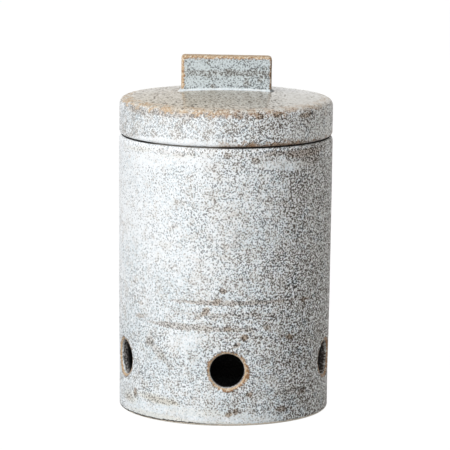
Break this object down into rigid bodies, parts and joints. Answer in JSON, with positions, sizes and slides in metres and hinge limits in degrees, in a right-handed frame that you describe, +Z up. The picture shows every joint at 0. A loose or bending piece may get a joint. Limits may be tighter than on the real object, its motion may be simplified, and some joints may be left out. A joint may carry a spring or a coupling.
{
  "type": "garlic keeper",
  "caption": "Cylindrical stoneware garlic keeper in speckled glaze, with vent holes low in its wall and a domed lift-off lid with an upright slab grip.",
  "frame": {"origin": "centre of the jar's foot, on the surface that it stands on", "axes": "+Z up along the jar, -Y towards its front with the first vent hole, X along the tab on the lid"},
  "size_m": [0.1198, 0.1198, 0.199],
  "materials": {
    "speckled_glaze": "gloss"
  },
  "bodies": {
    "jar": {"jar": "speckled_glaze"},
    "lid": {"lid": "speckled_glaze", "lid_tab": "speckled_glaze"}
  },
  "joints": [
    {"name": "lid_lift", "type": "slide", "parent": "jar", "child": "lid", "axis": [0, 0, 1], "range_m": [0, 0.09]}
  ]
}
